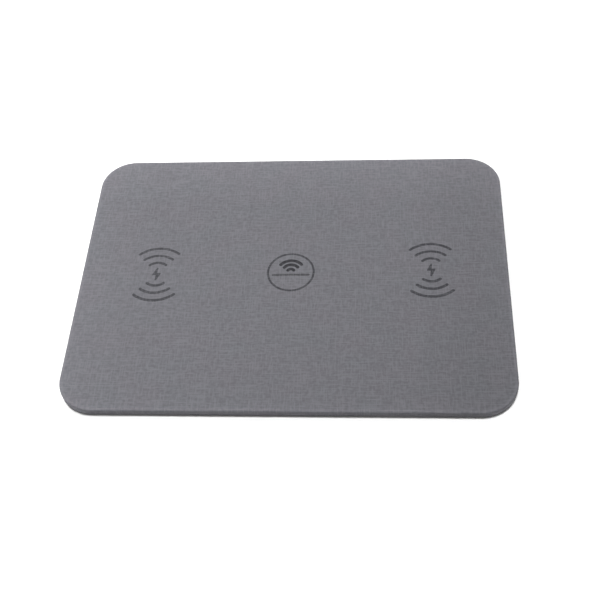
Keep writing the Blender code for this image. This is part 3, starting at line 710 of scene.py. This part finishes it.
def litz_wire():
    """Lacquered copper strands twisted together: slanting bands, each a little different."""
    wire = Finish("litz_wire", Metallic=0.85, Coat_Weight=0.5, Coat_Roughness=0.25)
    g = wire.graph
    place = g.solid_place()
    x, y, z = g.axes(place)
    flat, upright = STRAND_WAVE
    slant = g.math("ADD", g.math("MULTIPLY", g.math("ADD", x, y), flat), g.math("MULTIPLY", z, upright))
    strands = g.math("MULTIPLY_ADD", g.math("SINE", slant), 0.5, 0.5)
    patches = g.noise(place, scale=1.4, detail=2.0)
    copper = g.blend(strands, *STRAND_COPPER)
    wire.set("Base Color", g.scaled(copper, g.spread(patches, 0.8, 1.15)))
    wire.set("Roughness", g.remap(strands, 0.0, 1.0, 0.48, 0.3))
    wire.bump(strands, distance=0.05 * MM)
    return wire.material


def ferrite():
    """Sintered shield sheet: dark, with the fine cracks that these sheets are scored with."""
    sheet = Finish("ferrite", Specular_IOR_Level=0.4)
    g = sheet.graph
    place = g.solid_place()
    cracks = g.remap(g.cells(place, scale=0.45, feature="DISTANCE_TO_EDGE"), 0.0, 0.03, 0.0, 1.0)
    grains = g.noise(place, scale=4.0, detail=3.0)
    sheet.set("Base Color", g.blend(cracks, CRACK, g.blend(grains, *SINTERED)))
    sheet.set("Roughness", g.spread(grains, 0.5, 0.75))
    sheet.bump(g.math("MULTIPLY_ADD", grains, 0.2, cracks), distance=0.03 * MM)
    return sheet.material


def sensor():
    """An enamelled bead and its sleeved leads: glossy, with dips and thin spots."""
    bead = Finish("sensor", Coat_Weight=0.6, Coat_Roughness=0.12)
    g = bead.graph
    place = g.solid_place()
    dips = g.noise(place, scale=1.6, detail=2.0)
    bead.set("Base Color", g.blend(dips, *ENAMEL))
    bead.set("Roughness", g.spread(dips, 0.25, 0.45))
    bead.bump(dips, distance=0.05 * MM)
    return bead.material


FINISHES = {
    make.__name__: make()
    for make in (
        base_plastic, panel_plastic, bezel_plastic, tongue_plastic, foot_rubber, screw_steel, socket_steel,
        contact_gold, crystal, circuit_board, chip, capacitor, inductor, litz_wire, ferrite, sensor,
    )
}


def finish_cad_nodes():
    """Gives every CAD node that has a finish here its better material."""
    for part in RECORD["subparts"]:
        if part["material_slot"] in FINISHES:
            frame["nodes"][part["node"]].material_slots[0].material = FINISHES[part["material_slot"]]


# ---------------------------------------------------------------- making pieces


def add_piece(name, bm, material, replaced=(), sharp_degrees=None):
    """Turns a bmesh into a piece that rides on the pad and stands for the CAD nodes named."""
    mesh = bpy.data.meshes.new(name)
    bm.to_mesh(mesh)
    bm.free()
    mesh.materials.append(material)
    if sharp_degrees is not None:
        mesh.shade_smooth()
        mesh.set_sharp_from_angle(angle=math.radians(sharp_degrees))
    made = bpy.data.objects.new(name, mesh)
    pieces.objects.link(made)
    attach(made, "root")
    if replaced:
        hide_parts(*replaced)
    return made


def middle_of(node):
    low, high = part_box(node)
    return (low + high) / 2


def half_of(node):
    low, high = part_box(node)
    return (high - low) / 2


def low_point(node):
    """The lowest point of a node's middle line."""
    low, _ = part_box(node)
    middle = middle_of(node)
    return Vector((middle.x, middle.y, low.z))


def nodes_named(start):
    return sorted(name for name in frame["nodes"] if name.startswith(start))


def quarter_turn(steps):
    """(sine, 1 - cosine) through a quarter turn: the way round a fillet of radius 1."""
    angles = [math.pi / 2 * i / steps for i in range(steps + 1)]
    return [(math.sin(angle), 1 - math.cos(angle)) for angle in angles]


def bridge(bm, near, far):
    """Joins two closed rings of points with faces. A ring may be a single point."""
    count = max(len(near), len(far))
    for i in range(count):
        j = (i + 1) % count
        corners = [near[i % len(near)], far[i % len(far)], far[j % len(far)], near[j % len(near)]]
        bm.faces.new(list(dict.fromkeys(corners)))


def loft(bm, rings, capped=False):
    """Joins closed rings of points one after the other, and then caps both ends or joins last to first."""
    made = [[bm.verts.new(point) for point in ring] for ring in rings]
    for near, far in zip(made, made[1:]):
        bridge(bm, near, far)
    if capped:
        bm.faces.new(made[0])
        bm.faces.new(made[-1])
    else:
        bridge(bm, made[-1], made[0])
    bmesh.ops.recalc_face_normals(bm, faces=bm.faces)


def bake_modifiers(piece):
    """Turns a piece's modifiers into its mesh."""
    evaluated = piece.evaluated_get(bpy.context.evaluated_depsgraph_get())
    mesh = bpy.data.meshes.new_from_object(evaluated)
    old = piece.data
    piece.modifiers.clear()
    piece.data = mesh
    bpy.data.meshes.remove(old)
    mesh.name = piece.name


def cut(piece, cutter_bm):
    """Takes the cutter's shape out of a piece, and splits the many-sided faces that this leaves."""
    mesh = bpy.data.meshes.new("cutter")
    cutter_bm.to_mesh(mesh)
    cutter_bm.free()
    cutter = bpy.data.objects.new("cutter", mesh)
    studio.objects.link(cutter)
    boolean = piece.modifiers.new("cut", "BOOLEAN")
    boolean.object = cutter
    split = piece.modifiers.new("split", "TRIANGULATE")
    split.min_vertices = 5
    bake_modifiers(piece)
    bpy.data.objects.remove(cutter, do_unlink=True)


# ---------------------------------------------------------------- the cloth


def surface_height(x, y):
    """Height of the cloth's flat top: glued cloth is never quite flat."""
    waves = sum(share * noise.noise(Vector((x / size, y / size, seed))) for size, seed, share in WAVES)
    from_edge = min(HALF_LENGTH - abs(x), HALF_DEPTH - abs(y)) - TOP_ROUND
    fade = min(max(from_edge / WAVE_MARGIN, 0.0), 1.0)
    return TOP + WAVE_HEIGHT * fade * (waves - WAVE_SINK)


def row_places(half_depth, radius):
    """(y, inset) of the top's rows of points: by angle through the round corners, even between them."""
    straight = half_depth - radius
    corner = [(straight + radius * out, radius * inset) for out, inset in quarter_turn(CORNER_STEPS)[1:]]
    count = round(2 * straight / CLOTH_STEP)
    middle = [(-straight + 2 * straight * i / count, 0.0) for i in range(count + 1)]
    return [(-y, inset) for y, inset in reversed(corner)] + middle + corner


def edge_profile():
    """(outward, down) steps of the cloth's edge from the flat top to the end of its hem underneath."""
    side = CLOTH_DROP - TOP_ROUND - LOW_ROUND
    hem = HEM_WIDTH - LOW_ROUND
    top = [(TOP_ROUND * out, TOP_ROUND * down) for out, down in quarter_turn(TOP_ROUND_STEPS)[1:]]
    sides = [(TOP_ROUND, TOP_ROUND + side * i / SIDE_STEPS) for i in range(1, SIDE_STEPS)]
    low = [
        (TOP_ROUND - LOW_ROUND * inward, CLOTH_DROP - LOW_ROUND * (1 - down))
        for down, inward in quarter_turn(LOW_ROUND_STEPS)
    ]
    under = [(TOP_ROUND - LOW_ROUND - hem * i / HEM_STEPS, CLOTH_DROP) for i in range(1, HEM_STEPS + 1)]
    return top + sides + low + under


def top_grid(bm, flat, half_length, half_depth, radius):
    """The cloth's flat top as rows of points, with each point's place on the flat sheet."""
    columns = round(2 * half_length / CLOTH_STEP)
    grid = []
    for y, inset in row_places(half_depth, radius):
        reach = half_length - inset
        row = []
        for i in range(columns + 1):
            x = reach * (2 * i / columns - 1)
            vert = bm.verts.new((x, y, surface_height(x, y)))
            flat[vert] = (x, y)
            row.append(vert)
        grid.append(row)
    for near, far in zip(grid, grid[1:]):
        for i in range(columns):
            bm.faces.new((near[i], near[i + 1], far[i + 1], far[i]))
    return grid


def wrap_edge(bm, flat, grid, straight_x, straight_y):
    """Carries the cloth on from the top's border, round the edge and under it."""
    right = [row[-1] for row in grid[1:-1]]
    left = [row[0] for row in grid[-2:0:-1]]
    border = grid[0] + right + grid[-1][::-1] + left
    outward = []
    for vert in border:
        off_x = vert.co.x - max(-straight_x, min(straight_x, vert.co.x))
        off_y = vert.co.y - max(-straight_y, min(straight_y, vert.co.y))
        outward.append(Vector((off_x, off_y)).normalized())
    before = border
    last = (0.0, 0.0)
    run = 0.0
    for out, down in edge_profile():
        run += math.hypot(out - last[0], down - last[1])
        last = (out, down)
        ring = []
        for start, way in zip(border, outward):
            vert = bm.verts.new((start.co.x + way.x * out, start.co.y + way.y * out, TOP - down))
            flat[vert] = (start.co.x + way.x * run, start.co.y + way.y * run)
            ring.append(vert)
        bridge(bm, before, ring)
        before = ring


def make_cloth():
    """One sheet over the top, round the edge and under it, notched for the power socket's trim."""
    half_length = HALF_LENGTH - TOP_ROUND
    half_depth = HALF_DEPTH - TOP_ROUND
    radius = CORNER_RADIUS - TOP_ROUND
    bm = bmesh.new()
    flat = {}
    grid = top_grid(bm, flat, half_length, half_depth, radius)
    wrap_edge(bm, flat, grid, half_length - radius, half_depth - radius)
    uv = bm.loops.layers.uv.new("sheet")
    for face in bm.faces:
        face.smooth = True
        for corner in face.loops:
            corner[uv].uv = flat[corner.vert]
    bmesh.ops.recalc_face_normals(bm, faces=bm.faces)
    cloth = add_piece("linen_cover", bm, cloth_finish(), ["fabric_cover"])
    thicken = cloth.modifiers.new("thickness", "SOLIDIFY")
    thicken.thickness = CLOTH_THICKNESS
    thicken.offset = -1
    bake_modifiers(cloth)
    trim_low, trim_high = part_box("port_bezel")
    notch_low = trim_low - Vector((BEZEL_GAP, BEZEL_GAP, NOTCH_PAST))
    notch_high = trim_high + Vector((BEZEL_GAP, NOTCH_PAST, BEZEL_GAP))
    notch = bmesh.new()
    size = Matrix.Diagonal(notch_high - notch_low).to_4x4()
    middle = Matrix.Translation((notch_low + notch_high) / 2)
    bmesh.ops.create_cube(notch, size=1, matrix=middle @ size)
    cut(cloth, notch)


# ---------------------------------------------------------------- the prints


def arc(apex, half_chord, sagitta, up=1):
    """Points of an arc whose highest point is apex above the middle, or below it where up is -1."""
    radius = (half_chord**2 + sagitta**2) / (2 * sagitta)
    half_angle = math.asin(min(half_chord / radius, 1.0))
    count = max(6, math.ceil(2 * half_angle * radius / INK_STEP))
    points = []
    for i in range(count + 1):
        angle = half_angle * (2 * i / count - 1)
        points.append(Vector((radius * math.sin(angle), up * (apex - radius + radius * math.cos(angle)))))
    return points


def stroke(points, width):
    """The outline of a line of points drawn with a round pen."""
    half = width / 2

    def side_of(way):
        return Vector((-way.y, way.x)) * half

    def round_end(point, way):
        turns = [math.pi * i / PEN_STEPS for i in range(1, PEN_STEPS)]
        return [point + side_of(way) * math.cos(turn) + way * half * math.sin(turn) for turn in turns]

    left, right = [], []
    for i, point in enumerate(points):
        ahead = points[min(i + 1, len(points) - 1)]
        behind = points[max(i - 1, 0)]
        way = (ahead - behind).normalized()
        left.append(point + side_of(way))
        right.append(point - side_of(way))
    end = round_end(points[-1], (points[-1] - points[-2]).normalized())
    start = round_end(points[0], (points[0] - points[1]).normalized())
    return left + end + right[::-1] + start


def divided(corners):
    """A polygon's outline with a point every ink step."""
    points = []
    for here, there in zip(corners, corners[1:] + corners[:1]):
        here, there = Vector(here), Vector(there)
        count = max(1, round((there - here).length / INK_STEP))
        points += [here.lerp(there, i / count) for i in range(count)]
    return points


def bleed(point):
    """How far the ink has crept into the cloth at a point of a shape's outline."""
    place = point.to_3d() * BLEED_GRAIN
    return Vector((noise.noise(place), noise.noise(place + BLEED_SHIFT))) * INK_BLEED


def add_ink(bm, points, place):
    """Adds one inked shape as a thin solid on the cloth. points are in millimetres about place."""
    turn = Matrix.Rotation(PRINT_TURN, 2)
    low, high = [], []
    for point in points:
        x, y = place.to_2d() + turn @ (point + bleed(point)) * MM
        z = surface_height(x, y) + INK_PROUD
        high.append(bm.verts.new((x, y, z)))
        low.append(bm.verts.new((x, y, z - INK_DEPTH)))
    bm.faces.new(high)
    bm.faces.new(low[::-1])
    bridge(bm, high, low)


def make_print(name, place, shapes, material):
    """One printed mark: each shape is a closed outline in millimetres."""
    bm = bmesh.new()
    for shape in shapes:
        add_ink(bm, shape, place)
    bmesh.ops.recalc_face_normals(bm, faces=bm.faces)
    bmesh.ops.triangulate(bm, faces=bm.faces)
    uv = bm.loops.layers.uv.new("sheet")
    for face in bm.faces:
        for corner in face.loops:
            corner[uv].uv = corner.vert.co.xy
    add_piece(name, bm, material)


def print_place(side):
    """A mark's middle: its charging face's, turned with the print and a little off its place."""
    centre = MOUNTS["charging_face_centre"]
    turned = Matrix.Rotation(PRINT_TURN, 3, "Z") @ (MOUNTS["charging_face_" + side] - centre)
    return centre + turned + Vector((*PRINT_OFF_PLACE[side], 0)) * MM


def make_prints():
    thin = ink_finish("ink", *THIN_INK)
    dense = ink_finish("ink_dense", *DENSE_INK)
    faded = ink_finish("ink_faded", *FADED_INK)
    for side in ("left", "right"):
        shapes = [
            stroke(arc(*sizes, up), width)
            for up, width in ((1, STROKE), (-1, LOW_STROKE))
            for sizes in FIELD_ARCS
        ]
        shapes.append(divided(BOLT))
        make_print("print_" + side, print_place(side), shapes, thin)
    centre = print_place("centre")
    half_circle = (CIRCLE_RADIUS, CIRCLE_RADIUS, CIRCLE_RADIUS)
    ring = [stroke(arc(*half_circle, up), CIRCLE_STROKE) for up in (1, -1)]
    make_print("print_centre_ring", centre, ring, thin)
    signal = [stroke(arc(*sizes), SIGNAL_STROKE) for sizes in SIGNAL_ARCS]
    make_print("print_centre_signal", centre, signal, dense)
    count = round(2 * BAR_REACH / INK_STEP)
    bar = [Vector((BAR_REACH * (2 * i / count - 1), -BAR_DROP)) for i in range(count + 1)]
    make_print("print_centre_bar", centre, [stroke(bar, BAR_STROKE)], faded)


# ---------------------------------------------------------------- small parts outside


def lathe(profile, steps, place):
    """A solid of revolution from (radius, height) points that start and end on the axis."""
    bm = bmesh.new()
    turns = [2 * math.pi * i / steps for i in range(steps)]
    rings = []
    for radius, height in profile:
        around = turns if radius else [0.0]
        ways = [Vector((radius * math.cos(turn), radius * math.sin(turn), height)) for turn in around]
        rings.append([bm.verts.new(place + way) for way in ways])
    for near, far in zip(rings, rings[1:]):
        bridge(bm, near, far)
    bmesh.ops.recalc_face_normals(bm, faces=bm.faces)
    return bm


def rim_fillet(radius, fillet, steps):
    """(radius, height) points round the lower rim of a turned part."""
    return [(radius - fillet + fillet * out, fillet * up) for out, up in quarter_turn(steps)]


def foot_profile(radius, thickness):
    """A rubber foot with a filleted rim and round grooves in the face that it stands on."""
    points = [(0, 0)]
    for middle in FOOT_GROOVES:
        for i in range(GROOVE_STEPS + 1):
            angle = math.pi * i / GROOVE_STEPS
            points.append((middle - GROOVE_HALF_WIDTH * math.cos(angle), GROOVE_DEPTH * math.sin(angle)))
    points += rim_fillet(radius, FOOT_FILLET, FILLET_STEPS)
    return points + [(radius, thickness), (0, thickness)]


def make_feet():
    for name in nodes_named("foot_"):
        half = half_of(name)
        bm = lathe(foot_profile(half.x, 2 * half.z), FOOT_STEPS, low_point(name))
        add_piece(name + "_turned", bm, FINISHES["foot_rubber"], [name], 40)


def screw_profile(radius, length):
    """A countersunk screw from its head's face, below, up to its tip."""
    points = [(0, 0)] + rim_fillet(radius, SCREW_RIM, SCREW_RIM_STEPS)
    points += [(radius, SCREW_LAND), (SCREW_SHANK, SCREW_CONE_TOP), (SCREW_SHANK, length - SCREW_TIP)]
    return points + [(SCREW_SHANK - SCREW_TIP, length), (0, length)]


def cross_recess(place, turned):
    """The shape that a cross-head driver fills: a cross that narrows upwards from below the head's face."""
    rings = []
    for level, share in DRIVE_LEVELS:
        reach = DRIVE_REACH * share
        half = DRIVE_WIDTH * (DRIVE_CORE + (1 - DRIVE_CORE) * share)
        arm = ((half, -half), (reach, -DRIVE_TAPER * half), (reach, DRIVE_TAPER * half))
        turns = [Matrix.Rotation(turned + math.pi / 2 * quarter, 3, "Z") for quarter in range(4)]
        height = DRIVE_DEPTH * level
        rings.append([place + turn @ Vector((x, y, height)) for turn in turns for x, y in arm])
    bm = bmesh.new()
    loft(bm, rings, capped=True)
    return bm


def make_screws():
    """The base's screws, each left at its own turn."""
    for count, name in enumerate(nodes_named("screw_")):
        half = half_of(name)
        place = low_point(name)
        bm = lathe(screw_profile(half.x, 2 * half.z), SCREW_STEPS, place)
        screw = add_piece(name + "_driven", bm, FINISHES["screw_steel"], [name], 30)
        cut(screw, cross_recess(place, DRIVE_TURN * count))


def rounded_outline(half_width, half_height, radius):
    """A rectangle with round corners, seen from behind, as one ring of (x, z) points."""
    points = []
    for quarter, (sign_x, sign_z) in enumerate(((1, 1), (-1, 1), (-1, -1), (1, -1))):
        for i in range(OUTLINE_STEPS + 1):
            angle = math.pi / 2 * (quarter + i / OUTLINE_STEPS)
            x = sign_x * (half_width - radius) + radius * math.cos(angle)
            z = sign_z * (half_height - radius) + radius * math.sin(angle)
            points.append((x, z))
    return points


def socket_ring(half_width, half_height, y):
    """The socket's long form as a ring of points at a place along the pad's depth."""
    middle = middle_of("usb_c_shell")
    outline = rounded_outline(half_width, half_height, SOCKET_ROUNDING * 2 * half_height)
    return [(middle.x + x, y, middle.z + z) for x, z in outline]


def make_trim():
    """The socket's trim: a rounded insert with a lead-in round its mouth."""
    low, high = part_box("port_bezel")
    middle = middle_of("port_bezel")
    half = half_of("port_bezel")
    mouth = half_of("usb_c_shell") + Vector((BEZEL_GAP, 0, BEZEL_GAP))

    def outside(shrink, y):
        ring = rounded_outline(half.x - shrink, half.z - shrink, TRIM_CORNER - shrink / 2)
        return [(middle.x + x, y, middle.z + z) for x, z in ring]

    def inside(grow, y):
        return socket_ring(mouth.x + grow, mouth.z + grow, y)

    rings = [outside(0, low.y), outside(0, high.y - TRIM_ROUND_OVER)]
    for out, inward in quarter_turn(FILLET_STEPS)[1:]:
        rings.append(outside(TRIM_ROUND_OVER * inward, high.y - TRIM_ROUND_OVER * (1 - out)))
    for out, inward in quarter_turn(FILLET_STEPS):
        rings.append(inside(TRIM_LEAD_IN * (1 - out), high.y - TRIM_LEAD_IN * inward))
    rings.append(inside(0, low.y))
    bm = bmesh.new()
    loft(bm, rings)
    add_piece("socket_trim", bm, FINISHES["bezel_plastic"], ["port_bezel"], 40)


def make_shell():
    """The socket's drawn steel shell, with a rolled front lip and a closed back."""
    low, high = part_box("usb_c_shell")
    half = half_of("usb_c_shell")
    lip = SHELL_WALL / 2

    def ring(shrink, y):
        return socket_ring(half.x - shrink, half.z - shrink, y)

    rings = [ring(shrink, low.y + past) for shrink, past in SHELL_BACK]
    for i in range(LIP_STEPS + 1):
        angle = math.pi * i / LIP_STEPS
        rings.append(ring(lip * (1 - math.cos(angle)), high.y - lip * (1 - math.sin(angle))))
    rings.append(ring(SHELL_WALL, low.y + SHELL_FLOOR))
    bm = bmesh.new()
    loft(bm, rings, capped=True)
    add_piece("socket_shell", bm, FINISHES["socket_steel"], ["usb_c_shell"], 40)


def make_contacts():
    """Twelve gold contacts on each face of the tongue."""
    _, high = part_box("usb_c_tongue")
    middle = middle_of("usb_c_shell")
    size = Matrix.Diagonal((CONTACT_WIDTH, CONTACT_LENGTH, 2 * CONTACT_PROUD, 1))
    y = high.y - CONTACT_SET_BACK - CONTACT_LENGTH / 2
    bm = bmesh.new()
    for z in (middle.z + HALF_BLADE, middle.z - HALF_BLADE):
        for i in range(CONTACTS):
            x = middle.x + (i - (CONTACTS - 1) / 2) * CONTACT_PITCH
            bmesh.ops.create_cube(bm, size=1, matrix=Matrix.Translation((x, y, z)) @ size)
    bmesh.ops.bevel(bm, geom=bm.edges[:], offset=CONTACT_BEVEL, segments=2, affect="EDGES")
    add_piece("socket_contacts", bm, FINISHES["contact_gold"], sharp_degrees=40)


# ---------------------------------------------------------------- studio


def add_overhead_light():
    """A wide soft light straight above, even all over the floor."""
    data = bpy.data.lights.new("overhead", "SUN")
    data.energy = OVERHEAD_POWER
    data.angle = OVERHEAD_SPREAD
    studio.objects.link(bpy.data.objects.new("overhead", data))


def add_side_light():
    """A nearer soft light above the far left corner, which the pad's tone falls away from."""
    data = bpy.data.lights.new("side", "AREA")
    data.shape = "DISK"
    data.size = SIDE_SIZE
    data.energy = SIDE_POWER
    light = bpy.data.objects.new("side", data)
    light.location = SIDE_PLACE
    light.rotation_euler = (-SIDE_PLACE).to_track_quat("-Z", "Y").to_euler()
    studio.objects.link(light)


def add_camera():
    camera = bpy.data.objects.new("camera", bpy.data.cameras.new("camera"))
    camera.data.lens = CAMERA_LENS
    camera.data.clip_start = 0.01
    turn = Matrix.Rotation(CAMERA_TURN, 3, "Z")
    pitch = Matrix.Rotation(math.pi / 2 - CAMERA_PITCH, 3, "X")
    roll = Matrix.Rotation(CAMERA_ROLL, 3, "Z")
    facing = turn @ pitch @ roll
    camera.rotation_euler = facing.to_euler()
    camera.location = Vector((0, 0, TOP)) - facing @ PAD_FROM_CAMERA
    studio.objects.link(camera)
    bpy.context.scene.camera = camera


def add_world():
    """A plain studio surround: pale round the horizon, and dimmer overhead."""
    world = bpy.data.worlds.new("studio")
    world.use_nodes = True
    g = Graph(world.node_tree)
    _, _, height = g.axes(g.node("ShaderNodeTexCoord").outputs["Generated"])
    background = world.node_tree.nodes["Background"]
    g.feed(background.inputs["Color"], rgb(1, 1, 1))
    g.feed(background.inputs["Strength"], g.remap(height, *SKY_BAND, SKY_LOW, SKY_TOP))
    bpy.context.scene.world = world


def add_floor():
    bm = bmesh.new()
    bmesh.ops.create_grid(bm, x_segments=1, y_segments=1, size=FLOOR_SIZE / 2)
    mesh = bpy.data.meshes.new("floor")
    bm.to_mesh(mesh)
    bm.free()
    paper = Finish("floor", Roughness=0.8, Specular_IOR_Level=0.2)
    paper.set("Base Color", rgb(FLOOR_WHITE, FLOOR_WHITE, FLOOR_WHITE))
    mesh.materials.append(paper.material)
    floor = bpy.data.objects.new("floor", mesh)
    floor.location.z = FLOOR_LEVEL
    studio.objects.link(floor)


bpy.context.scene.view_settings.view_transform = "Standard"
add_camera()
add_world()
add_overhead_light()
add_side_light()
add_floor()
finish_cad_nodes()
make_cloth()
make_prints()
make_feet()
make_screws()
make_trim()
make_shell()
make_contacts()
